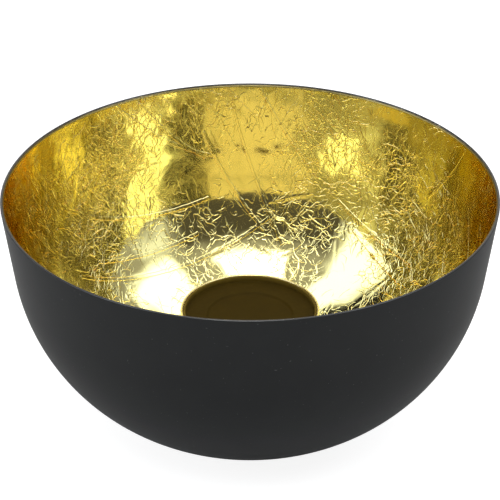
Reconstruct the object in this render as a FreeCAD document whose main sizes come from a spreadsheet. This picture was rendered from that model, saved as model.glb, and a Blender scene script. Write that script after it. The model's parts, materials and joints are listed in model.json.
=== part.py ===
"""Candle bowl: a spun sheet-metal bowl, black outside and lined with metal leaf, with a candle stand
screwed to the middle of its floor.

Millimetres, +Z up. The origin is on the bowl's axis, at the level that the bowl stands on. Every
piece is round about Z, so most of them are a half section in the XZ plane, revolved.
"""

import FreeCAD, Part
import math
import os
from dataclasses import dataclass

import Sketcher

SIZES = {
    # The bowl's outer face: a straight wall that leans outwards, above one round belly.
    "rim_radius": 72.5,
    "bowl_height": 75.0,
    "wall_height": 22.3,
    "wall_taper": 8.0,  # degrees from upright
    "belly_radius": 62.0,
    "sheet": 0.8,
    # The foot: a flat ring to stand on, around a middle that is pressed up to clear the screw head.
    "foot_inner_radius": 17.6,
    "plateau_radius": 15.8,
    "plateau_rise": 3.0,
    "pad_thickness": 1.0,
    "pad_inner_radius": 17.9,
    "pad_outer_radius": 21.6,
    "pad_edge_round": 0.25,
    # The metal leaf with its lacquer, and the film of size that glues it down.
    "leaf": 0.15,
    "size_film": 0.02,
    # The candle stand: a tall drawn cup, with a shallow dish pressed into its mouth.
    "stand_top": 35.4,
    "stand_radius": 20.7,
    "stand_sheet": 0.75,
    "stand_corner": 6.0,
    "dish_clearance": 0.05,
    "dish_drop": 0.1,
    "dish_depth": 1.9,
    "dish_sheet": 0.6,
    "dish_corner": 1.0,
    "recess_radius": 12.7,
    "recess_depth": 0.5,
    "recess_slope": 0.6,
    # M4 fixings: a button-head screw from below, a plain washer, and a nut welded into the stand.
    "screw_hole_radius": 2.25,
    "screw_radius": 2.0,
    "screw_length": 8.0,
    "screw_tip": 0.4,
    "head_radius": 3.8,
    "head_height": 2.2,
    "head_edge": 0.7,
    "head_flat_radius": 2.2,
    "socket_width": 2.5,
    "socket_depth": 1.3,
    "washer_radius": 4.5,
    "washer_hole_radius": 2.15,
    "washer_thickness": 0.8,
    "nut_width": 7.0,
    "nut_height": 3.2,
    "nut_hole_radius": 2.05,
    "joint_gap": 0.02,  # between two faces that rest on each other
}

# Sizes that several pieces share, as expressions of the driving dimensions.
TAPER = "(Sizes.wall_taper * 1 deg)"
BELLY = (
    f"(Sizes.rim_radius - Sizes.wall_height * tan{TAPER} - Sizes.belly_radius * cos{TAPER})",
    f"(Sizes.bowl_height - Sizes.wall_height + Sizes.belly_radius * sin{TAPER})",
)
PLATEAU_Z = "(Sizes.pad_thickness + Sizes.plateau_rise)"
LEAF_NEAR = "(Sizes.sheet + Sizes.size_film)"
LEAF_FAR = f"({LEAF_NEAR} + Sizes.leaf)"
STAND_Z = f"({PLATEAU_Z} + {LEAF_FAR} + Sizes.joint_gap)"
DISH_TOP = "(Sizes.stand_top - Sizes.dish_drop)"
WASHER_Z = f"({PLATEAU_Z} - Sizes.joint_gap - Sizes.washer_thickness)"
SCREW_Z = f"({WASHER_Z} - Sizes.joint_gap)"
NUT_Z = f"({STAND_Z} + Sizes.stand_sheet + Sizes.joint_gap)"

# Directions on a sketch, in radians anticlockwise from its X axis.
EAST, NORTH, WEST, SOUTH = 0.0, math.pi / 2, math.pi, -math.pi / 2

document = FreeCAD.newDocument("candle_bowl")


def make_sheet():
    """The driving dimensions, one alias to a row."""
    sheet = document.addObject("Spreadsheet::Sheet", "Sizes")
    for row, (alias, value) in enumerate(SIZES.items(), start=1):
        sheet.set(f"A{row}", alias)
        sheet.set(f"B{row}", str(value))
        sheet.setAlias(f"B{row}", alias)
    document.recompute()
    return sheet


def measure(expression):
    """The number an expression comes to, which a sketch needs as its first guess."""
    value = sizes.evalExpression(expression.replace("Sizes.", ""))
    return float(getattr(value, "Value", value))


def make_body(name):
    """The body of one piece. Its Label names its file."""
    body = document.addObject("PartDesign::Body", name)
    body.Label = name
    body.Placement = FreeCAD.Placement()
    return body


def raise_to(body, height):
    """Lifts a piece that is drawn about its own origin to its place on the axis."""
    body.setExpression("Placement.Base.z", height)


def circle_at(centre, radius):
    return Part.Circle(FreeCAD.Vector(*centre, 0), FreeCAD.Vector(0, 0, 1), radius)


def polar(centre, radius, angle):
    """The first-guess point at an angle about a centre."""
    return centre[0] + radius * math.cos(angle), centre[1] + radius * math.sin(angle)


@dataclass
class Round:
    """A round stretch of an outline.

    It runs smoothly into the straight stretch at each end, or meets it in a corner at a level.
    """

    centre: tuple
    radius: str
    start: float
    end: float
    start_level: str = ""
    end_level: str = ""

    def point(self, angle):
        centre = [measure(value) for value in self.centre]
        return polar(centre, measure(self.radius), angle)


def guess(step, end):
    """The first guess for where a step of an outline starts or ends."""
    if isinstance(step, Round):
        return step.point(getattr(step, end))
    return [measure(value) for value in step]


class Drawing:
    """A sketch whose sizes follow the sheet, on one of the body's own origin planes."""

    def __init__(self, body, name, plane):
        self.sketch = body.newObject("Sketcher::SketchObject", f"{body.Label}_{name}")
        origin_plane = next(f for f in body.Origin.OriginFeatures if f.Role == plane)
        self.sketch.AttachmentSupport = [(origin_plane, "")]
        self.sketch.MapMode = "FlatFace"
        self.named = 0

    def constrain(self, kind, *where):
        return self.sketch.addConstraint(Sketcher.Constraint(kind, *where))

    def size(self, kind, where, expression):
        """One dimension, bound to the sheet."""
        self.named += 1
        name = f"size_{self.named}"
        number = self.constrain(kind, *where, measure(expression))
        self.sketch.renameConstraint(number, name)
        self.sketch.setExpression(f"Constraints.{name}", expression)

    def fix(self, piece, end, across, up):
        """Fixes a point by its distances from the axes. "0" is on the axis, "" leaves it free."""
        for kind, axis, expression in (("DistanceX", -2, across), ("DistanceY", -1, up)):
            if expression == "0":
                self.constrain("PointOnObject", piece, end, axis)
            elif expression:
                self.size(kind, (-1, 1, piece, end), expression)

    def ring(self, radius, guide=False):
        """A circle about the origin."""
        circle = self.sketch.addGeometry(circle_at((0, 0), measure(radius)), guide)
        self.constrain("Coincident", circle, 3, -1, 1)
        self.size("Radius", (circle,), radius)
        return circle

    def hexagon(self, width):
        """A regular hexagon about the origin, of one width across its flats."""
        corner = f"{width} / 2 / cos(30 deg)"
        points = [polar((0, 0), measure(corner), math.radians(60 * turn)) for turn in range(6)]
        sides = [self.line(here, after) for here, after in zip(points, points[1:] + points[:1])]
        guide = self.ring(corner, guide=True)
        self.constrain("PointOnObject", sides[0], 1, -1)
        for side, after in zip(sides, sides[1:] + sides[:1]):
            self.constrain("Coincident", side, 2, after, 1)
            self.constrain("PointOnObject", side, 1, guide)
            if side != sides[0]:
                self.constrain("Equal", sides[0], side)

    def line(self, start, end):
        segment = Part.LineSegment(FreeCAD.Vector(*start, 0), FreeCAD.Vector(*end, 0))
        return self.sketch.addGeometry(segment, False)

    def arc(self, step):
        circle = circle_at([measure(value) for value in step.centre], measure(step.radius))
        low, high = sorted((step.start, step.end))
        piece = self.sketch.addGeometry(Part.ArcOfCircle(circle, low, high), False)
        self.size("Radius", (piece,), step.radius)
        self.fix(piece, 3, *step.centre)
        return piece

    def outline(self, steps):
        """A closed outline with a straight stretch after each step, a corner or a Round."""
        following = steps[1:] + steps[:1]
        straights = [
            self.line(guess(step, "end"), guess(after, "start"))
            for step, after in zip(steps, following)
        ]
        for step, before, straight in zip(steps, straights[-1:] + straights[:-1], straights):
            if isinstance(step, Round):
                arc = self.arc(step)
                first, last = (1, 2) if step.start < step.end else (2, 1)
                self.join(before, 2, arc, first, step.start_level)
                self.join(arc, last, straight, 1, step.end_level)
            else:
                self.constrain("Coincident", before, 2, straight, 1)
                self.fix(straight, 1, *step)

    def join(self, piece, end, after, start, level):
        """A smooth joint, or a corner at a level."""
        self.constrain("Coincident" if level else "Tangent", piece, end, after, start)
        if level:
            self.fix(piece, end, "", level)


def turn(body, steps):
    """Revolves a half section about the body's own Z axis."""
    drawing = Drawing(body, "section", "XZ_Plane")
    drawing.outline(steps)
    revolution = body.newObject("PartDesign::Revolution", f"{body.Label}_turned")
    revolution.Profile = drawing.sketch
    revolution.ReferenceAxis = (drawing.sketch, ["V_Axis"])
    revolution.Angle = 360.0
    document.recompute()


def pad(body, drawing, thickness):
    """Raises a sketch on the XY plane to a thickness."""
    feature = body.newObject("PartDesign::Pad", f"{body.Label}_pad")
    feature.Profile = drawing.sketch
    feature.setExpression("Length", thickness)
    document.recompute()
    return feature


def cut(body, drawing, name, upwards=True):
    """Cuts a sketch right through the piece below the sketch's plane, and above it if upwards."""
    before = body.Shape.Volume
    feature = body.newObject("PartDesign::Pocket", f"{body.Label}_{name}")
    feature.Profile = drawing.sketch
    feature.Type = "ThroughAll"
    feature.Midplane = upwards
    document.recompute()
    if body.Shape.Volume >= before:
        raise RuntimeError(f"{feature.Label} cuts nothing")


def drill(body, radius):
    """A round hole through the piece on its axis."""
    drawing = Drawing(body, "hole_circle", "XY_Plane")
    drawing.ring(radius)
    cut(body, drawing, "hole")


def make_skin(name, near, far, top):
    """A skin of the bowl between two depths below its outer face, with a full round rim."""
    half = f"(({far} - {near}) / 2)"
    rim_z = f"({top} - {half})"
    wall_x = f"(Sizes.rim_radius - (Sizes.bowl_height - {rim_z}) * tan{TAPER})"
    rim = (f"({wall_x} - ({near} + {half}) / cos{TAPER})", rim_z)
    run = "(Sizes.foot_inner_radius - Sizes.plateau_radius)"
    spread = f"((sqrt(Sizes.plateau_rise ^ 2 + {run} ^ 2) - {run}) / Sizes.plateau_rise)"
    taper = math.radians(measure("Sizes.wall_taper"))

    def pressed_middle(depth):
        """At one depth: the middle of the floor, the plateau's edge, and the inside of the foot."""
        flat_z = f"({PLATEAU_Z} + {depth})"
        return [
            ("0", flat_z),
            (f"(Sizes.plateau_radius + {depth} * {spread})", flat_z),
            (f"(Sizes.foot_inner_radius + {depth} * {spread})", foot_level(depth)),
        ]

    def foot_level(depth):
        return f"(Sizes.pad_thickness + {depth})"

    def foot_angle(depth):
        """The direction, from the belly's centre, in which the belly meets the foot."""
        drop = measure(f"{BELLY[1]} - {foot_level(depth)}")
        return -math.asin(drop / measure(f"Sizes.belly_radius - {depth}"))

    def belly(depth, start, end, **levels):
        return Round(BELLY, f"(Sizes.belly_radius - {depth})", start, end, **levels)

    body = make_body(name)
    outside = belly(near, foot_angle(near), -taper, start_level=foot_level(near))
    inside = belly(far, -taper, foot_angle(far), end_level=foot_level(far))
    edge = Round(rim, half, -taper, WEST - taper)
    turn(body, [*pressed_middle(near), outside, edge, inside, *reversed(pressed_middle(far))])
    drill(body, "Sizes.screw_hole_radius")
    return body


def make_bowl_shell():
    """The spun bowl itself."""
    return make_skin("bowl_shell", "0", "Sizes.sheet", "Sizes.bowl_height")


def make_gold_leaf_lining():
    """The metal leaf, glued over the whole inside and cut off just below the rim's round edge."""
    top = "(Sizes.bowl_height - Sizes.sheet / 2)"
    return make_skin("gold_leaf_lining", LEAF_NEAR, LEAF_FAR, top)


def drawn_cup(name, radius, sheet, corner, top, floor):
    """A drawn sheet-metal cup. floor gives one face of its floor, from the middle outwards."""
    under, over = floor("0"), floor(sheet)
    level = under[-1][1]
    lip = (f"({radius} - {sheet} / 2)", f"({top} - {sheet} / 2)")
    bend = (f"({radius} - {corner})", f"({level} + {corner})")
    body = make_body(name)
    turn(
        body,
        [
            *under,
            Round(bend, corner, SOUTH, EAST),
            Round(lip, f"({sheet} / 2)", EAST, WEST),
            Round(bend, f"({corner} - {sheet})", EAST, SOUTH),
            *reversed(over),
        ],
    )
    return body


def make_candle_stand():
    """The tall cup that carries the candle dish, closed below and open at the top."""

    def floor(depth):
        return [("0", f"({STAND_Z} + {depth})")]

    body = drawn_cup(
        "candle_stand",
        "Sizes.stand_radius",
        "Sizes.stand_sheet",
        "Sizes.stand_corner",
        "Sizes.stand_top",
        floor,
    )
    drill(body, "Sizes.screw_hole_radius")
    return body


def make_candle_dish():
    """The shallow dish that holds the candle. The middle of its floor is pressed down a little."""

    def floor(depth):
        level = f"({DISH_TOP} - Sizes.dish_depth - Sizes.dish_sheet + {depth})"
        low = f"({level} - Sizes.recess_depth)"
        return [
            ("0", low),
            ("(Sizes.recess_radius - Sizes.recess_slope / 2)", low),
            ("(Sizes.recess_radius + Sizes.recess_slope / 2)", level),
        ]

    return drawn_cup(
        "candle_dish",
        "(Sizes.stand_radius - Sizes.stand_sheet - Sizes.dish_clearance)",
        "Sizes.dish_sheet",
        "Sizes.dish_corner",
        DISH_TOP,
        floor,
    )


def make_fixing_screw():
    """A button-head screw with its head below, drawn with its bearing face on the XY plane."""
    head_z = "(-Sizes.head_height)"
    body = make_body("fixing_screw")
    turn(
        body,
        [
            ("0", head_z),
            ("Sizes.head_flat_radius", head_z),
            ("Sizes.head_radius", "(-Sizes.head_edge)"),
            ("Sizes.head_radius", "0"),
            ("Sizes.screw_radius", "0"),
            ("Sizes.screw_radius", "(Sizes.screw_length - Sizes.screw_tip)"),
            ("(Sizes.screw_radius - Sizes.screw_tip)", "Sizes.screw_length"),
            ("0", "Sizes.screw_length"),
        ],
    )
    drawing = Drawing(body, "socket_hexagon", "XY_Plane")
    drawing.sketch.setExpression(
        "AttachmentOffset.Base.z", "Sizes.socket_depth - Sizes.head_height"
    )
    drawing.hexagon("Sizes.socket_width")
    cut(body, drawing, "socket", upwards=False)
    raise_to(body, SCREW_Z)
    return body


def make_fixing_washer():
    """The plain washer between the screw head and the bowl."""
    body = make_body("fixing_washer")
    drawing = Drawing(body, "circles", "XY_Plane")
    drawing.ring("Sizes.washer_radius")
    drawing.ring("Sizes.washer_hole_radius")
    pad(body, drawing, "Sizes.washer_thickness")
    raise_to(body, WASHER_Z)
    return body


def make_stand_nut():
    """The hexagon nut that is welded to the inside floor of the stand."""
    body = make_body("stand_nut")
    drawing = Drawing(body, "hexagon", "XY_Plane")
    drawing.hexagon("Sizes.nut_width")
    pad(body, drawing, "Sizes.nut_height")
    drill(body, "Sizes.nut_hole_radius")
    raise_to(body, NUT_Z)
    return body


def make_base_pad():
    """The felt ring under the foot, with its lower edges rounded."""
    body = make_body("base_pad")
    drawing = Drawing(body, "circles", "XY_Plane")
    drawing.ring("Sizes.pad_outer_radius")
    drawing.ring("Sizes.pad_inner_radius")
    ring = pad(body, drawing, "Sizes.pad_thickness")
    lower = [
        f"Edge{number}"
        for number, edge in enumerate(ring.Shape.Edges, start=1)
        if all(math.isclose(vertex.Z, 0, abs_tol=1e-6) for vertex in edge.Vertexes)
    ]
    rounding = body.newObject("PartDesign::Fillet", "base_pad_rounding")
    rounding.Base = (ring, lower)
    rounding.setExpression("Radius", "Sizes.pad_edge_round")
    document.recompute()
    return body


def check(bodies):
    """Stops unless every object recomputed and every piece is one valid solid."""
    for item in document.Objects:
        if "Invalid" in item.State or "Error" in item.State:
            raise RuntimeError(f"{item.Label} didn't recompute: {item.State}")
    for body in bodies:
        shape = body.Shape
        if shape.isNull() or not shape.isValid() or len(shape.Solids) != 1:
            raise RuntimeError(f"{body.Label} isn't one valid solid")


sizes = make_sheet()
bodies = [
    make_bowl_shell(),
    make_gold_leaf_lining(),
    make_candle_stand(),
    make_candle_dish(),
    make_fixing_screw(),
    make_fixing_washer(),
    make_stand_nut(),
    make_base_pad(),
]
document.recompute()
check(bodies)

os.makedirs("parts", exist_ok=True)
for body in bodies:
    body.Shape.exportStep(f"parts/{body.Label}.step")
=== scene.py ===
"""The looks of the candle bowl: its surfaces, a pale studio, and the camera. Metres, +Z up."""

import json
import math

import bpy
import numpy as np
from mathutils import Matrix, Vector

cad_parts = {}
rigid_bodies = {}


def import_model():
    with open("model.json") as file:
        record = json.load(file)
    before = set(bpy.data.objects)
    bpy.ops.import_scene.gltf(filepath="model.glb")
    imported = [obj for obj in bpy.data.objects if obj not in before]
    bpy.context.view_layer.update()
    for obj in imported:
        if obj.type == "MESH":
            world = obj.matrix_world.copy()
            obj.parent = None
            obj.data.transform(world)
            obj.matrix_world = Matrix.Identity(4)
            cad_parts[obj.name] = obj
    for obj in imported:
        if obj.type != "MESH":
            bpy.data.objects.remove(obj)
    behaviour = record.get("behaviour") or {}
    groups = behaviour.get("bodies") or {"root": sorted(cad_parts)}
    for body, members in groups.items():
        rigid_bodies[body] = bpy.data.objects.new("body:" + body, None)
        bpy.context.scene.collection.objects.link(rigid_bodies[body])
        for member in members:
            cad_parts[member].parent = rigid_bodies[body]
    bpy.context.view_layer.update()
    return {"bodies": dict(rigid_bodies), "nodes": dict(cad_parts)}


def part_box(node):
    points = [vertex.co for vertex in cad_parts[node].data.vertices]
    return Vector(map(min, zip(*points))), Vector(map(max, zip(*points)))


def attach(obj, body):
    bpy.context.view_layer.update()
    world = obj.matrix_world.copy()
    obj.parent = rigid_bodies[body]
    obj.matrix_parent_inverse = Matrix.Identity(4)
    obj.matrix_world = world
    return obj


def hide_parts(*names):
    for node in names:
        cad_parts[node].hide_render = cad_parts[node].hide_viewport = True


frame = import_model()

MM = 0.001
BODY = next(iter(frame["bodies"]))

# Sizes from the frame, in metres.
SHELL_LOW, SHELL_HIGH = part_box("bowl_shell")
LEAF_LOW, LEAF_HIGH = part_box("gold_leaf_lining")
STAND_LOW, STAND_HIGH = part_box("candle_stand")
DISH_LOW, DISH_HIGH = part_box("candle_dish")
PAD_LOW, PAD_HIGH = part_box("base_pad")
RIM_RADIUS = SHELL_HIGH.x
RIM_HEIGHT = SHELL_HIGH.z
FOOT_HEIGHT = SHELL_LOW.z

# The bowl's section. The middle of its floor is pressed up and rests on the washer. Its straight
# wall and its belly are shares of the rim's radius.
WALL_TAPER = math.radians(8.0)
WALL_HEIGHT = 0.3076 * RIM_RADIUS
BELLY_RADIUS = 0.8555 * RIM_RADIUS
SHEET = 0.8 * MM
FILM = LEAF_LOW.z - FOOT_HEIGHT - SHEET
LEAF = 0.15 * MM
PLATEAU_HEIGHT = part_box("fixing_washer")[1].z
PLATEAU_RADIUS = 15.8 * MM
FOOT_INNER_RADIUS = 17.6 * MM
HOLE_RADIUS = 2.25 * MM
PRESS_ROUND = 1.6 * MM
BELLY_X = RIM_RADIUS - WALL_HEIGHT * math.tan(WALL_TAPER) - BELLY_RADIUS * math.cos(WALL_TAPER)
BELLY_Z = RIM_HEIGHT - WALL_HEIGHT + BELLY_RADIUS * math.sin(WALL_TAPER)

# The stand, the dish pressed into it, and the felt ring.
STAND_SHEET = 0.75 * MM
STAND_CORNER = 6.0 * MM
DISH_SHEET = 0.6 * MM
DISH_CORNER = 1.0 * MM
RECESS_RADIUS = 12.7 * MM
RECESS_SLOPE = 0.6 * MM
RECESS_DEPTH = 0.5 * MM
RECESS_ROUND = 0.35 * MM
PAD_HOLE_RADIUS = 17.9 * MM
PAD_EDGE = 0.3 * MM

# How many steps and columns the lathed pieces have, and how near the axis a point counts as on it.
BELLY_STEPS = 96
SHELL_COLUMNS = 512
CUP_COLUMNS = 256
PAD_COLUMNS = 192
ON_AXIS = 1e-6

# The leaf's mesh, and what is raised on it.
SEED = 7
LEAF_COLUMNS = 1200
LEAF_ROWS = 0.42 * MM
LEAF_BACK_ROWS = 4 * MM
SWELLS = (
    # Wavelength, height and number of waves.
    (14 * MM, 0.035 * MM, 18),
    (6 * MM, 0.016 * MM, 24),
)
FOLDS = (
    # How many, length, bend and wobble (radians to a metre), half width and height.
    (26, 70 * MM, 2.0, 20.0, 0.75 * MM, 0.05 * MM),
    (200, 16 * MM, 30.0, 200.0, 0.6 * MM, 0.03 * MM),
    (500, 9 * MM, 60.0, 300.0, 0.5 * MM, 0.025 * MM),
)
FOLD_STEP = 0.35 * MM  # from one point of a fold to the next
SEAM_STEP = 0.02 * MM  # how far a sheet's edge stands up at a seam
EDGE_FADE = 1.5 * MM  # below the top edge, where everything raised starts from nothing
# Painted shade: the leaf is drawn darker along its top edge, under the rim.
EDGE_BAND = 0.7 * MM  # below the top edge, where the leaf gets darker
SMOOTH_SWELL = 0.35  # the share of the swells that is left where the leaf lies smooth
FAR = 99.0  # a way to the nearest seam that is too long to matter, in millimetres

# Creases too fine for the mesh, one layer to a line. Lengths are in millimetres.
CREASES = (
    # Cell size, half width, bend and height.
    (16.0, 0.15, 0.6, 0.045),
    (13.0, 0.16, 1.0, 0.045),
    (11.0, 0.15, 1.2, 0.045),
    (9.2, 0.15, 1.8, 0.045),
    (7.7, 0.14, 2.4, 0.04),
    (6.5, 0.14, 3.0, 0.04),
    (5.4, 0.13, 3.5, 0.035),
    (4.5, 0.13, 4.0, 0.03),
    (3.7, 0.12, 4.0, 0.025),
    (3.0, 0.11, 4.0, 0.016),
)
HAIRS = (
    # The same, but lower.
    (6.3, 0.11, 1.0, 0.012),
    (4.3, 0.1, 2.0, 0.01),
)
CURLS = (
    # Size of the noise, half width and height.
    (8.0, 0.11, 0.035),
    (5.0, 0.1, 0.03),
)
LAYER_SHIFT = 7.3  # how many cells a layer is moved by, so that no two layers line up

# Where one sheet of leaf laps over the next: both ends of each seam, in millimetres, on the leaf
# laid flat with the middle of the bowl at its origin and +Y at the back.
SEAMS = (
    ((-62, 35), (8, 75)),
    ((-56, 45), (-20, 68)),
    ((-64, 57), (-17, 80)),
    ((-22, 101), (5, 71)),
    ((-12, 119), (12, 66)),
    ((-72, 96), (-16, 94)),
    ((-62, 103), (-20, 93)),
    ((4, 119), (27, 88)),
    ((36, 75), (60, 42)),
    ((40, 64), (54, 38)),
    ((77, 56), (106, 49)),
    ((-30, -20), (-95, -48)),
    ((-20, -60), (40, -95)),
    ((20, -34), (80, -60)),
    ((60, -20), (95, 30)),
)

# How crinkled the flat leaf is, from 0 to 1, and how much that drifts over a wavelength in millimetres.
CRINKLE_MIDDLE = 0.70
CRINKLE_DRIFT = 0.14
DRIFT_LENGTH = 45.0
DRIFT_WAVES = 12

# Where the flat leaf is smoother or more crinkled than the rest: x, y, radius (mm) and change.
CRINKLE_SPOTS = (
    (2, 96, 20, -0.28),
    (-32, 88, 13, -0.75),
    (-100, 70, 26, -0.4),
    (107, 55, 26, -0.4),
    (-62, 66, 16, 0.6),
    (43, 92, 18, 0.4),
    (60, 48, 16, 0.4),
    (-52, 45, 10, 0.3),
    (-34, 67, 9, 0.3),
    (12, 75, 14, 0.25),
    (-32, 47, 13, -0.7),
    (34, 48, 13, -0.7),
    (0, 55, 11, -0.6),
)


# Sections


def arc(centre, radius, start, end, steps):
    """Points on an arc, by angle from the outward direction."""
    angles = np.linspace(start, end, steps)
    return [(centre[0] + radius * math.cos(a), centre[1] + radius * math.sin(a)) for a in angles]


def rounded(before, corner, after, radius, steps=6):
    """The corner of a section, replaced by an arc that touches both of its sides."""
    corner = np.array(corner)
    sides = [np.array(end) - corner for end in (before, after)]
    sides = [side / np.linalg.norm(side) for side in sides]
    half = math.acos(max(-1.0, min(1.0, float(sides[0] @ sides[1])))) / 2
    middle = sides[0] + sides[1]
    centre = corner + middle / np.linalg.norm(middle) * radius / math.sin(half)
    touch = [corner + side * radius / math.tan(half) for side in sides]
    angles = [math.atan2(*(point - centre)[::-1]) for point in touch]
    turn = (angles[1] - angles[0] + math.pi) % (2 * math.pi) - math.pi
    return arc(centre, radius, angles[0], angles[0] + turn, steps)


def section(corners, steps=6):
    """An open section from (radius, height, round) corners."""
    points = [corners[0][:2]]
    for before, corner, after in zip(corners, corners[1:], corners[2:]):
        if corner[2]:
            points += rounded(before[:2], corner[:2], after[:2], corner[2], steps)
        else:
            points.append(corner[:2])
    return points + [corners[-1][:2]]


def bowl_face(depth):
    """The bowl's face at a depth below its outer face, from the rim down to the hole."""
    wall_x = RIM_RADIUS - depth / math.cos(WALL_TAPER)
    foot_z = FOOT_HEIGHT + depth
    foot_angle = math.asin((BELLY_Z - foot_z) / (BELLY_RADIUS - depth))
    belly = arc((BELLY_X, BELLY_Z), BELLY_RADIUS - depth, -WALL_TAPER, -foot_angle, BELLY_STEPS)
    rise = PLATEAU_HEIGHT - FOOT_HEIGHT
    run = FOOT_INNER_RADIUS - PLATEAU_RADIUS
    spread = depth * (math.hypot(rise, run) - run) / rise
    corners = [
        (*belly[-2], 0),
        (*belly[-1], PRESS_ROUND + depth),
        (FOOT_INNER_RADIUS + spread, foot_z, PRESS_ROUND - depth),
        (PLATEAU_RADIUS + spread, PLATEAU_HEIGHT + depth, PRESS_ROUND + depth),
        (HOLE_RADIUS, PLATEAU_HEIGHT + depth, 0),
    ]
    return [(wall_x, RIM_HEIGHT), *belly[:-2], *section(corners)]


def resample(points, spacing):
    """Even points along a section, with the direction square to it on its right."""
    points = np.array(points)
    steps = np.linalg.norm(np.diff(points, axis=0), axis=1)
    along = np.concatenate([[0], np.cumsum(steps)])
    count = int(along[-1] / spacing) + 1
    even = np.linspace(0, along[-1], count)
    place = np.stack([np.interp(even, along, points[:, axis]) for axis in (0, 1)], 1)
    direction = np.gradient(place, even, axis=0)
    direction /= np.linalg.norm(direction, axis=1)[:, None]
    return even, place, np.stack([direction[:, 1], -direction[:, 0]], 1)


# Meshes


def new_object(name, vertices, faces):
    """A smooth-shaded mesh in the scene."""
    mesh = bpy.data.meshes.new(name)
    mesh.from_pydata(np.asarray(vertices).tolist(), [], faces)
    mesh.update()
    mesh.shade_smooth()
    obj = bpy.data.objects.new(name, mesh)
    bpy.context.scene.collection.objects.link(obj)
    return obj


def grid_faces(rows, columns):
    """Quads between rows of a closed ring of columns, from row pairs."""
    across = np.arange(columns)
    after = (across + 1) % columns
    faces = []
    for upper, lower in rows:
        quad = [upper + across, upper + after, lower + after, lower + across]
        faces += np.stack(quad, 1).tolist()
    return faces


def lathe(name, points, columns):
    """A closed section turned about Z. A point on the axis becomes one vertex."""
    turn = np.linspace(0, 2 * math.pi, columns, endpoint=False)
    vertices, starts = [], []
    for radius, height in points:
        starts.append(len(vertices))
        if radius < ON_AXIS:
            vertices.append((0.0, 0.0, height))
        else:
            vertices += [(radius * math.cos(a), radius * math.sin(a), height) for a in turn]
    starts.append(starts[0])
    sizes = [1 if radius < ON_AXIS else columns for radius, _ in points]
    sizes.append(sizes[0])
    faces = []
    for index in range(len(points)):
        here, after = starts[index], starts[index + 1]
        wide_here, wide_after = sizes[index] > 1, sizes[index + 1] > 1
        if wide_here and wide_after:
            faces += grid_faces([(here, after)], columns)
        elif wide_here or wide_after:
            ring, pole = (here, after) if wide_here else (after, here)
            for column in range(columns):
                side = [ring + column, ring + (column + 1) % columns]
                faces.append([*(side if wide_here else side[::-1]), pole])
    return new_object(name, vertices, faces)


def finish_piece(obj, node, material):
    """Stands obj in for a CAD node."""
    obj.data.materials.append(material)
    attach(obj, BODY)
    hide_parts(node)


def point_attribute(obj, name, values):
    """Numbers or vectors held on an object's vertices, for its material to read."""
    values = np.asarray(values, dtype=np.float32)
    kind = "FLOAT" if values.ndim == 1 else "FLOAT_VECTOR"
    layer = obj.data.attributes.new(name, kind, "POINT")
    layer.data.foreach_set("value" if values.ndim == 1 else "vector", values.ravel())


# Materials


class Graph:
    """A short way to write a node tree."""

    def __init__(self, tree):
        self.tree = tree
        tree.nodes.clear()

    def node(self, kind, settings=None, **inputs):
        """A new node, with its settings, and its inputs by name (an underscore stands for a space)."""
        node = self.tree.nodes.new(f"ShaderNode{kind}")
        for name, value in (settings or {}).items():
            setattr(node, name, value)
        for name, value in inputs.items():
            self.feed(node.inputs[name.replace("_", " ")], value)
        return node

    def feed(self, socket, value):
        """Links a socket to a socket, or gives it a plain value."""
        if isinstance(value, bpy.types.NodeSocket):
            self.tree.links.new(value, socket)
        elif value is not None:
            socket.default_value = value

    def math(self, operation, first, second=None, third=None):
        """The result of a math node."""
        node = self.node("Math", {"operation": operation})
        for socket, value in zip(node.inputs, (first, second, third)):
            self.feed(socket, value)
        return node.outputs[0]

    def vector(self, operation, first, second=None, scale=None):
        """The result of a vector math node."""
        node = self.node("VectorMath", {"operation": operation})
        self.feed(node.inputs[0], first)
        if second is not None:
            self.feed(node.inputs[1], second)
        if scale is not None:
            self.feed(node.inputs["Scale"], scale)
        return node.outputs[0]

    def ease(self, value, low, high, start=0.0, end=1.0):
        """A smooth step from start to end as value goes from low to high."""
        node = self.node("MapRange", {"interpolation_type": "SMOOTHSTEP"})
        for socket, number in zip(node.inputs, (value, low, high, start, end)):
            self.feed(socket, number)
        return node.outputs[0]

    def noise(self, place, size, detail=2.0, roughness=0.5, distortion=0.0):
        """Noise whose blobs are about size across."""
        node = self.node(
            "TexNoise",
            Vector=place,
            Scale=1.0 / size,
            Detail=detail,
            Roughness=roughness,
            Distortion=distortion,
        )
        return node.outputs["Fac"]

    def blend(self, factor, first, second):
        """A colour that goes from first to second with factor."""
        node = self.node("Mix", {"data_type": "RGBA", "blend_type": "MIX"})
        self.feed(node.inputs["Factor"], factor)
        for name, value in (("A_Color", first), ("B_Color", second)):
            self.feed(next(socket for socket in node.inputs if socket.identifier == name), value)
        return next(socket for socket in node.outputs if socket.identifier == "Result_Color")

    def place(self):
        """The place on the object, in millimetres."""
        return self.vector("SCALE", self.node("TexCoord").outputs["Object"], scale=1.0 / MM)

    def bump(self, height, distance):
        """The surface's normal, bent by a height. A height of 1 stands for the distance, in metres."""
        return self.node("Bump", Height=height, Distance=distance).outputs[0]

    def principled(self, **inputs):
        """The shader of every surface here."""
        return self.node("BsdfPrincipled", **inputs)


def new_material(name, build):
    """A material whose tree is made by build, which returns its shader."""
    material = bpy.data.materials.new(name)
    material.use_nodes = True
    graph = Graph(material.node_tree)
    shader = build(graph)
    output = graph.node("OutputMaterial")
    material.node_tree.links.new(shader.outputs[0], output.inputs[0])
    return material


def rgb(red, green, blue):
    """A linear colour."""
    return (red, green, blue, 1.0)


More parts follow.
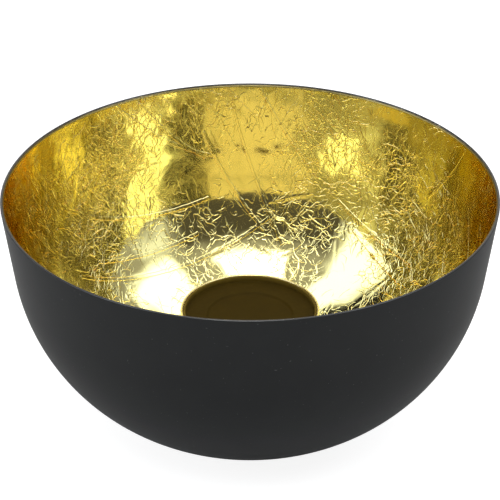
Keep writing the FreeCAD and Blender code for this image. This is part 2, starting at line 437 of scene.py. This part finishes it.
def strokes(graph, place, crinkle, under, cell, width, bend, tall):
    """Adds curved hair-like ridges to the height under: one to a cell, each turned and bent.

    What lies under a layer shifts it sideways by its own height. That also makes the layers run one
    after the other, so that Cycles has room for all of them.
    """
    start = graph.math("ADD", under, LAYER_SHIFT * cell)
    moved = graph.vector("ADD", place, graph.vector("SCALE", (1.0, 1.0, 0.0), scale=start))
    cells = graph.node("TexVoronoi", {"voronoi_dimensions": "2D"}, Vector=moved, Scale=1 / cell)
    local = graph.vector("SUBTRACT", moved, cells.outputs["Position"])
    chance = graph.node("SeparateColor", Color=cells.outputs["Color"])
    angle = graph.math("MULTIPLY", chance.outputs[0], 2 * math.pi)
    turned = graph.node("VectorRotate", {"rotation_type": "Z_AXIS"}, Vector=local, Angle=angle)
    axes = graph.node("SeparateXYZ", Vector=turned.outputs[0])
    curve = graph.math("MULTIPLY", graph.math("SUBTRACT", chance.outputs[1], 0.5), bend / cell)
    sag = graph.math("MULTIPLY", graph.math("POWER", axes.outputs[0], 2), curve)
    across = graph.math("ABSOLUTE", graph.math("ADD", axes.outputs[1], sag))
    along = graph.math("ABSOLUTE", axes.outputs[0])
    ridge = graph.ease(across, 0.0, width, 1.0, 0.0)
    ends = graph.ease(along, 0.3 * cell, 0.6 * cell, 1.0, 0.0)
    # A cell has a stroke only where its chance number and the crinkle add up to enough.
    luck = graph.math("ADD", chance.outputs[2], crinkle)
    strength = graph.ease(luck, 1.05, 1.35, 0.0, tall)
    return graph.math("MULTIPLY_ADD", graph.math("MULTIPLY", ridge, ends), strength, under)


def curls(graph, place, crinkle, under, size, width, tall):
    """Adds long curling ridges along the level lines of a noise, broken up by a second noise."""
    level = graph.math("ABSOLUTE", graph.math("SUBTRACT", graph.noise(place, size, 1.0), 0.5))
    ridge = graph.ease(level, 0.0, width / size, tall, 0.0)
    luck = graph.math("MULTIPLY_ADD", crinkle, 0.3, graph.noise(place, 1.7 * size, 1.0))
    gate = graph.ease(luck, 0.65, 0.72)
    return graph.math("MULTIPLY_ADD", ridge, gate, under)


def gold_leaf(graph):
    """Crinkled metal leaf.

    The mesh holds the leaf laid flat and the way to the nearest seam, in millimetres, how crinkled
    each place is, and how near it is to the top edge.
    """
    flat = graph.node("Attribute", {"attribute_name": "leaf_place"}).outputs["Vector"]
    gap = graph.node("Attribute", {"attribute_name": "seam_gap"}).outputs["Fac"]
    crinkle = graph.node("Attribute", {"attribute_name": "crinkle"}).outputs["Fac"]
    edge = graph.node("Attribute", {"attribute_name": "top_edge_shade"}).outputs["Fac"]
    wander = graph.node("TexNoise", Vector=flat, Scale=0.22, Detail=2.0).outputs["Color"]
    wander = graph.vector("SCALE", graph.vector("SUBTRACT", wander, (0.5, 0.5, 0.5)), scale=2.5)
    place = graph.vector("ADD", flat, wander)
    height = graph.math("MULTIPLY", graph.noise(place, 0.8, 2.0), 0.002)
    for ridge in CREASES:
        height = strokes(graph, place, crinkle, height, *ridge)
    busy = graph.math("ADD", crinkle, 0.25)
    for ridge in HAIRS:
        height = strokes(graph, flat, busy, height, *ridge)
    for ridge in CURLS:
        height = curls(graph, flat, crinkle, height, *ridge)
    ragged = graph.math("MULTIPLY_ADD", graph.noise(flat, 1.5, 2.0), 0.5, -0.25)
    overlap = graph.ease(graph.math("ADD", gap, ragged), 0.45, 0.62, 0.065, 0.0)
    normal = graph.bump(graph.math("ADD", height, overlap), MM)
    patch = graph.noise(flat, 18.0, 3.0)
    colour = graph.blend(patch, rgb(0.89, 0.775, 0.31), rgb(0.89, 0.805, 0.36))
    # Painted shade: near its top edge the leaf turns dark brown.
    colour = graph.blend(edge, colour, rgb(0.22, 0.17, 0.06))
    roughness = graph.ease(graph.noise(flat, 6.0, 4.0), 0.3, 0.7, 0.06, 0.10)
    roughness = graph.math("MULTIPLY_ADD", edge, 0.3, roughness)
    return graph.principled(
        Base_Color=colour,
        Metallic=1.0,
        Roughness=roughness,
        Normal=normal,
        Specular_Tint=rgb(0.95, 0.72, 0.05),
        Coat_Weight=0.08,
        Coat_Roughness=0.06,
    )


def black_coat(graph):
    """Matt charcoal coat, glossier over the rim's round edge and worn off where the leaf begins, with
    painted shade that makes it darker lower down and lighter towards the rim.
    """
    place = graph.place()
    bare = graph.node("Attribute", {"attribute_name": "bare_edge"}).outputs["Fac"]
    ragged = graph.math("MULTIPLY_ADD", graph.noise(place, 1.6, 3.0), 0.4, -0.2)
    worn = graph.ease(graph.math("ADD", bare, ragged), 0.90, 0.96)
    edge = graph.ease(bare, 0.1, 0.35)
    level = graph.node("SeparateXYZ", Vector=place).outputs[2]
    # Painted shade: the coat is drawn darker lower down and lighter towards the rim, for how the light
    # falls on it.
    painted_shade_by_height = graph.ease(level, 0.3 * RIM_HEIGHT / MM, RIM_HEIGHT / MM, -0.25, 0.45)
    # Random mottle, plus the painted shade by height.
    mottle_and_painted_shade = graph.math("ADD", graph.noise(place, 9.0, 4.0), painted_shade_by_height)
    coat = graph.blend(mottle_and_painted_shade, rgb(0.0145, 0.0155, 0.0159), rgb(0.021, 0.0223, 0.0230))
    specks = graph.ease(graph.noise(place, 0.7, 1.0), 0.74, 0.8)
    coat = graph.blend(specks, coat, rgb(0.09, 0.09, 0.09))
    colour = graph.blend(worn, coat, rgb(0.50, 0.45, 0.32))
    grain = graph.noise(place, 0.35, 3.0, 0.6)
    return graph.principled(
        Base_Color=colour,
        Metallic=worn,
        Roughness=graph.ease(edge, 0.0, 1.0, 0.48, 0.2),
        Specular_IOR_Level=graph.ease(edge, 0.0, 1.0, 0.3, 0.7),
        Sheen_Weight=0.12,
        Sheen_Roughness=0.3,
        Normal=graph.bump(grain, 0.012 * MM),
    )


def gold_sheet(graph):
    """Pale gold on the stand, blotchy and shallowly crinkled."""
    place = graph.place()
    tone = graph.noise(place, 4.0, 4.0)
    colour = graph.blend(tone, rgb(0.88, 0.72, 0.30), rgb(0.95, 0.84, 0.48))
    height = graph.noise(place, 1.1, 4.0, 0.6, 0.5)
    return graph.principled(
        Base_Color=colour,
        Metallic=1.0,
        Roughness=graph.ease(tone, 0.3, 0.7, 0.2, 0.34),
        Normal=graph.bump(height, 0.05 * MM),
    )


def antique_gold(graph):
    """Dark brown-gold of the candle dish, blotchy, and painted paler towards its lip, as painted light
    that lifts the shade on its inner wall.
    """
    place = graph.place()
    level = graph.node("SeparateXYZ", Vector=place).outputs[2]
    blotch = graph.noise(place, 5.0, 5.0, 0.6)
    colour = graph.blend(blotch, rgb(0.028, 0.0165, 0.0002), rgb(0.044, 0.0265, 0.0008))
    # Painted light: from 2 mm below the lip up to it, the dish is drawn paler and more metallic, to
    # lift the shade on its inner wall.
    ragged = graph.math("MULTIPLY_ADD", graph.noise(place, 1.2, 3.0), 0.5, -0.25)
    lip = DISH_HIGH.z / MM
    painted_lip_light = graph.ease(graph.math("ADD", level, ragged), lip - 2.0, lip - 0.3)
    colour = graph.blend(painted_lip_light, colour, rgb(0.16, 0.11, 0.02))
    return graph.principled(
        Base_Color=colour,
        Metallic=graph.math("MULTIPLY", painted_lip_light, 0.5),
        Roughness=0.7,
        Specular_IOR_Level=0.08,
        Normal=graph.bump(graph.noise(place, 0.5, 3.0), 0.015 * MM),
    )


def zinc(graph):
    """Zinc plate with a fine satin grain."""
    place = graph.place()
    tone = graph.noise(place, 0.8, 3.0)
    return graph.principled(
        Base_Color=graph.blend(tone, rgb(0.46, 0.47, 0.49), rgb(0.66, 0.67, 0.68)),
        Metallic=1.0,
        Roughness=graph.ease(tone, 0.3, 0.7, 0.28, 0.42),
        Normal=graph.bump(tone, 0.01 * MM),
    )


def black_felt(graph):
    """Pressed felt, with short fibres lying every way."""
    place = graph.place()
    fibre = graph.noise(place, 0.25, 4.0, 0.7, 1.5)
    return graph.principled(
        Base_Color=graph.blend(fibre, rgb(0.010, 0.010, 0.011), rgb(0.045, 0.045, 0.048)),
        Roughness=0.95,
        Sheen_Weight=0.3,
        Normal=graph.bump(fibre, 0.12 * MM),
    )


def white_paper(graph):
    """White paper. It glows for the camera only, so that its shadow stays faint."""
    seen = graph.node("LightPath").outputs["Is Camera Ray"]
    return graph.principled(
        Base_Color=rgb(*PAPER),
        Roughness=0.9,
        Emission_Color=rgb(1, 1, 1),
        Emission_Strength=graph.math("MULTIPLY", seen, 0.88),
    )


# Pieces


def make_bowl_shell():
    """The spun bowl, with a full round rim and softly pressed corners."""
    outside = bowl_face(0.0)
    inside = bowl_face(SHEET)
    half = SHEET / 2
    rim_z = RIM_HEIGHT - half
    rim_x = RIM_RADIUS - half * (math.tan(WALL_TAPER) + 1 / math.cos(WALL_TAPER))
    rim = arc((rim_x, rim_z), half, -WALL_TAPER, math.pi - WALL_TAPER, 13)
    points = rim + inside[1:] + outside[:0:-1]
    obj = lathe("bowl_shell_painted", points, SHELL_COLUMNS)
    angle = np.linspace(0, 1, len(rim))
    share = np.concatenate([angle, np.ones(len(inside) - 1), np.zeros(len(outside) - 1)])
    point_attribute(obj, "bare_edge", np.repeat(share, SHELL_COLUMNS))
    finish_piece(obj, "bowl_shell", new_material("black_coat", black_coat))


def waves(place, length, count, draw):
    """Smooth noise of about one wavelength, from plane waves in random directions."""
    total = np.zeros(place.shape[:-1])
    for _ in range(count):
        direction = draw.normal(size=3)
        direction *= 2 * math.pi / length / np.linalg.norm(direction) * draw.uniform(0.7, 1.3)
        total += np.sin(place @ direction + draw.uniform(0, 2 * math.pi))
    return total / math.sqrt(count / 2)


def raise_ridges(height, along, radius, trails, width, tall):
    """Raises a height field into ridges that follow trails of (turn, distance) points."""
    rows, columns = height.shape
    spacing = along[1] - along[0]
    turn, down = trails
    reach = 4  # rows and columns to each side
    row = np.rint(down / spacing).astype(int)
    inside = (row >= 0) & (row < rows)
    local = np.interp(down, along, radius)
    column = np.rint(turn / (2 * math.pi) * columns).astype(int)
    for step in range(-reach, reach + 1):
        near_row = np.clip(row + step, 0, rows - 1)
        gap_down = near_row * spacing - down
        span = 2 * math.pi * radius[near_row] / columns
        for side in range(-reach, reach + 1):
            gap_side = ((column + side) / columns * 2 * math.pi - turn) * local
            square = (gap_down**2 + gap_side**2) / width**2
            value = np.where(inside & (span > 0), tall * np.exp(-square * 2), 0.0)
            np.maximum.at(height, (near_row, (column + side) % columns), value)


def leaf_trails(along, radius, count, long, bend, wobble, draw):
    """Random walks over the lining: turn and distance of each point, one walk to a row."""
    steps = int(long / FOLD_STEP)
    area = np.cumsum(radius) / radius.sum()
    down = np.interp(draw.uniform(size=count), area, along)
    turn = draw.uniform(0, 2 * math.pi, count)
    heading = draw.uniform(0, 2 * math.pi, count)
    curl = draw.normal(0, bend, count)
    keep = draw.uniform(0.3, 1.0, count)
    turns, downs = np.empty((count, steps)), np.empty((count, steps))
    for index in range(steps):
        turns[:, index], downs[:, index] = turn, down
        moving = np.where(index < keep * steps, FOLD_STEP, 0.0)
        heading = heading + (curl + draw.normal(0, wobble, count)) * moving
        down = down + np.cos(heading) * moving
        turn = turn + np.sin(heading) * moving / np.maximum(np.interp(down, along, radius), MM)
    return turns, downs


def seam_distance(flat):
    """How far each point of the flat leaf is from the nearest seam, in millimetres."""
    nearest = np.full(flat.shape[:-1], FAR)
    for start, end in SEAMS:
        start, end = np.array(start), np.array(end)
        along = end - start
        share = np.clip((flat[..., :2] - start) @ along / (along @ along), 0, 1)
        gap = np.linalg.norm(flat[..., :2] - start - share[..., None] * along, axis=-1)
        nearest = np.minimum(nearest, gap)
    return nearest


def crinkle_share(flat, draw):
    """How crinkled the leaf is, from 0 where it lies smooth to 1."""
    share = CRINKLE_MIDDLE + CRINKLE_DRIFT * waves(flat, DRIFT_LENGTH, DRIFT_WAVES, draw)
    for x, y, radius, change in CRINKLE_SPOTS:
        square = ((flat[..., 0] - x) ** 2 + (flat[..., 1] - y) ** 2) / radius**2
        share += change * np.exp(-square)
    return np.clip(share, 0.0, 1.0)


def leaf_relief(surface, flat, gap, along, radius, draw):
    """How far each point of the leaf stands up from the bowl, and how crinkled the leaf is there."""
    height = sum(tall * waves(surface, length, count, draw) for length, tall, count in SWELLS)
    folds = np.zeros_like(height)
    for count, long, bend, wobble, width, tall in FOLDS:
        turns, downs = leaf_trails(along, radius, count, long, bend, wobble, draw)
        talls = np.repeat(draw.uniform(0.4, 1.0, count)[:, None] * tall, turns.shape[1], 1)
        trails = (turns.ravel(), downs.ravel())
        raise_ridges(folds, along, radius, trails, width, talls.ravel())
    crinkle = crinkle_share(flat, draw)
    height *= SMOOTH_SWELL + (1 - SMOOTH_SWELL) * crinkle
    height += folds * crinkle
    height += SEAM_STEP * np.clip(2 - 2 * gap, 0, 1)
    height *= np.clip(along / EDGE_FADE, 0, 1)[:, None]
    return height, crinkle


def leaf_face(depth):
    """A face of the leaf, which stops just below the top of the rim."""
    face = bowl_face(depth)
    face[0] = (face[0][0] - 0.5 * SHEET * math.tan(WALL_TAPER), LEAF_HIGH.z)
    return face


def make_gold_leaf():
    """The crinkled leaf: a dense skin whose folds, seams and swells are real geometry."""
    draw = np.random.default_rng(SEED)
    along, place, out = resample(leaf_face(SHEET + FILM + LEAF), LEAF_ROWS)
    turn = np.linspace(0, 2 * math.pi, LEAF_COLUMNS, endpoint=False)
    ring = np.stack([np.cos(turn), np.sin(turn)], 1)

    def on_bowl(section_points):
        """Turns the points or directions of a section about Z: a row for each, and all the columns."""
        flat = section_points[:, :1, None] * ring[None]
        level = np.repeat(section_points[:, 1:], LEAF_COLUMNS, 1)[..., None]
        return np.concatenate([flat, level], 2)

    surface = on_bowl(place)
    reach = (along[-1] - along + HOLE_RADIUS) / MM
    flat = reach[:, None, None] * np.concatenate([ring, np.zeros((LEAF_COLUMNS, 1))], 1)[None]
    gap = seam_distance(flat)
    height, crinkle = leaf_relief(surface, flat, gap, along, place[:, 0], draw)
    front = surface + on_bowl(out) * height[..., None]
    back = on_bowl(resample(leaf_face(SHEET + FILM), LEAF_BACK_ROWS)[1])
    rows = len(front) + len(back)
    vertices = np.concatenate([front, back[::-1]]).reshape(-1, 3)
    pairs = [(index * LEAF_COLUMNS, (index + 1) % rows * LEAF_COLUMNS) for index in range(rows)]
    obj = new_object("gold_leaf_crinkled", vertices, grid_faces(pairs, LEAF_COLUMNS))
    hidden = len(back) * LEAF_COLUMNS
    point_attribute(obj, "leaf_place", np.pad(flat.reshape(-1, 3), ((0, hidden), (0, 0))))
    point_attribute(obj, "seam_gap", np.pad(gap.ravel(), (0, hidden), constant_values=FAR))
    edge = np.repeat(np.clip(1 - along / EDGE_BAND, 0, 1), LEAF_COLUMNS)
    point_attribute(obj, "top_edge_shade", np.pad(edge, (0, hidden), constant_values=1.0))
    point_attribute(obj, "crinkle", np.pad(crinkle.ravel(), (0, hidden)))
    material = new_material("gold_leaf", gold_leaf)
    finish_piece(obj, "gold_leaf_lining", material)


def make_candle_stand():
    """The stand's tall drawn cup."""
    radius, top, bottom = STAND_HIGH.x, STAND_HIGH.z, STAND_LOW.z
    half = STAND_SHEET / 2
    inner = radius - STAND_SHEET
    outside = section(
        [(HOLE_RADIUS, bottom, 0), (radius, bottom, STAND_CORNER), (radius, top - half, 0)], 16
    )
    inside = section(
        [
            (inner, top - half, 0),
            (inner, bottom + STAND_SHEET, STAND_CORNER - STAND_SHEET),
            (HOLE_RADIUS, bottom + STAND_SHEET, 0),
        ],
        16,
    )
    lip = arc((radius - half, top - half), half, 0, math.pi, 11)[1:-1]
    obj = lathe("candle_stand_gold", outside + lip + inside, CUP_COLUMNS)
    finish_piece(obj, "candle_stand", new_material("gold_sheet", gold_sheet))


def make_candle_dish():
    """The shallow dark dish, with its pressed recess."""
    radius, top = DISH_HIGH.x, DISH_HIGH.z
    half = DISH_SHEET / 2
    under = DISH_LOW.z + RECESS_DEPTH
    inner = radius - DISH_SHEET
    slope_in = RECESS_RADIUS - RECESS_SLOPE / 2
    slope_out = RECESS_RADIUS + RECESS_SLOPE / 2

    def floor(level):
        """The corners of the recess and its slope, under a floor at the level."""
        return [
            (0.0, level - RECESS_DEPTH, 0),
            (slope_in, level - RECESS_DEPTH, RECESS_ROUND),
            (slope_out, level, RECESS_ROUND),
        ]

    outside = section([*floor(under), (radius, under, DISH_CORNER), (radius, top - half, 0)])
    over = floor(under + DISH_SHEET)
    inside = section(
        [
            (inner, top - half, 0),
            (inner, under + DISH_SHEET, DISH_CORNER - DISH_SHEET),
            *over[::-1],
        ]
    )
    lip = arc((radius - half, top - half), half, 0, math.pi, 9)[1:-1]
    obj = lathe("candle_dish_dark", outside + lip + inside, CUP_COLUMNS)
    material = new_material("antique_gold", antique_gold)
    finish_piece(obj, "candle_dish", material)


def make_base_pad():
    """The felt ring, with rounded edges."""
    inner, outer = PAD_HOLE_RADIUS, PAD_HIGH.x
    low, high = PAD_LOW.z, PAD_HIGH.z
    outline = [
        ((inner + outer) / 2, low, 0),
        (outer, low, PAD_EDGE),
        (outer, high, PAD_EDGE),
        (inner, high, PAD_EDGE),
        (inner, low, PAD_EDGE),
        ((inner + outer) / 2, low, 0),
    ]
    obj = lathe("base_pad_felt", section(outline)[:-1], PAD_COLUMNS)
    finish_piece(obj, "base_pad", new_material("black_felt", black_felt))


def paint_fixings():
    """The screw, washer and nut keep their CAD shapes."""
    material = new_material("zinc", zinc)
    for node in ("fixing_screw", "fixing_washer", "stand_nut"):
        mesh = frame["nodes"][node].data
        mesh.materials.clear()
        mesh.materials.append(material)


# Studio

FLOOR_HALF_WIDTH = 6.0
FLOOR_GAP = 0.02 * MM
PAPER = (0.42, 0.42, 0.42)
BASE_LIGHT = (0.42, 0.42, 0.42)
PANEL_SOFTNESS = 4.0
PLAIN = (1.0, 1.0, 1.0)
WARM = (1.0, 0.91, 0.80)
COOL = (0.94, 1.0, 1.06)
STUDIO = (
    # Azimuth 0 is the camera's side and 90 the right: middle, half width, bottom, top (degrees),
    # brightness and tint. Later panels hide earlier ones.
    (0, 190, -90, 19, 0.5, PLAIN),
    (180, 52, 19, 80, 1.1, WARM),
    (105, 22, 12, 60, 0.35, PLAIN),
    (-114, 24, 17, 72, 0.02, PLAIN),
    (-104, 7, 4, 18, 4.0, PLAIN),
    (-73, 16, 18, 82, 2.6, COOL),
    (76, 21, 38, 82, 2.9, COOL),
    (60, 10, 24, 34, 1.2, COOL),
    (-3, 28, 48, 88, 5.0, PLAIN),
    (-4, 48, -20, 39, 0.09, WARM),
)


# Where the camera is, seen from the middle of the rim (its distance in millimetres), and its lens.
CAMERA_ELEVATION = math.radians(28.29)
CAMERA_PITCH = math.radians(29.63)
CAMERA_DISTANCE = 725
CAMERA_LENS = 179.8
CAMERA_SHIFT = -0.0001


def add_floor():
    """A wide sheet of white paper, a hair below the felt."""
    signs = ((-1, -1), (1, -1), (1, 1), (-1, 1))
    corners = [(x * FLOOR_HALF_WIDTH, y * FLOOR_HALF_WIDTH, -FLOOR_GAP) for x, y in signs]
    obj = new_object("floor", corners, [(0, 1, 2, 3)])
    obj.data.materials.append(new_material("pale_floor", white_paper))


def studio_panel(graph, azimuth, elevation, panel, behind):
    """Paints one soft-edged panel over the studio. Angles are in degrees."""
    middle, half, low, high, brightness, tint = panel
    turned = graph.math("SUBTRACT", azimuth, middle)
    gap = graph.math("ABSOLUTE", graph.math("WRAP", turned, 180, -180))
    sides = graph.ease(gap, half - PANEL_SOFTNESS, half + PANEL_SOFTNESS, 1.0, 0.0)
    under = graph.ease(elevation, low - PANEL_SOFTNESS, low + PANEL_SOFTNESS)
    over = graph.ease(elevation, high - PANEL_SOFTNESS, high + PANEL_SOFTNESS, 1.0, 0.0)
    mask = graph.math("MULTIPLY", graph.math("MULTIPLY", sides, under), over)
    return graph.blend(mask, behind, rgb(*(brightness * part for part in tint)))


def add_world():
    """A studio of soft panels round the bowl. The camera itself sees plain white."""
    world = bpy.data.worlds.new("studio")
    world.use_nodes = True
    graph = Graph(world.node_tree)
    look = graph.node("SeparateXYZ", Vector=graph.node("TexCoord").outputs["Generated"])
    across, back, up = look.outputs
    front = graph.math("MULTIPLY", back, -1)
    azimuth = graph.math("DEGREES", graph.math("ARCTAN2", across, front))
    elevation = graph.math("DEGREES", graph.math("ARCSINE", up))
    light = rgb(*BASE_LIGHT)
    for panel in STUDIO:
        light = studio_panel(graph, azimuth, elevation, panel, light)
    seen = graph.node("LightPath").outputs["Is Camera Ray"]
    light = graph.blend(seen, light, rgb(1, 1, 1))
    shine = graph.node("Background", Color=light)
    output = graph.node("OutputWorld")
    world.node_tree.links.new(shine.outputs[0], output.inputs[0])
    bpy.context.scene.world = world


def add_camera():
    """A long lens that looks down into the bowl from the front."""
    lens = bpy.data.cameras.new("camera")
    lens.sensor_width = 36.0
    lens.lens = CAMERA_LENS
    lens.shift_x = CAMERA_SHIFT
    lens.clip_start = 0.01
    lens.clip_end = 50.0
    obj = bpy.data.objects.new("camera", lens)
    back = Vector((0, -math.cos(CAMERA_ELEVATION), math.sin(CAMERA_ELEVATION)))
    where = Vector((0, 0, RIM_HEIGHT)) + back * CAMERA_DISTANCE * MM
    turn = Matrix.Rotation(math.pi / 2 - CAMERA_PITCH, 4, "X")
    obj.matrix_world = Matrix.Translation(where) @ turn
    bpy.context.scene.collection.objects.link(obj)
    bpy.context.scene.camera = obj


make_bowl_shell()
make_gold_leaf()
make_candle_stand()
make_candle_dish()
make_base_pad()
paint_fixings()
add_floor()
add_world()
add_camera()
scene = bpy.context.scene
scene.view_settings.view_transform = "Standard"
scene.cycles.glossy_bounces = 10

bpy.context.view_layer.update()
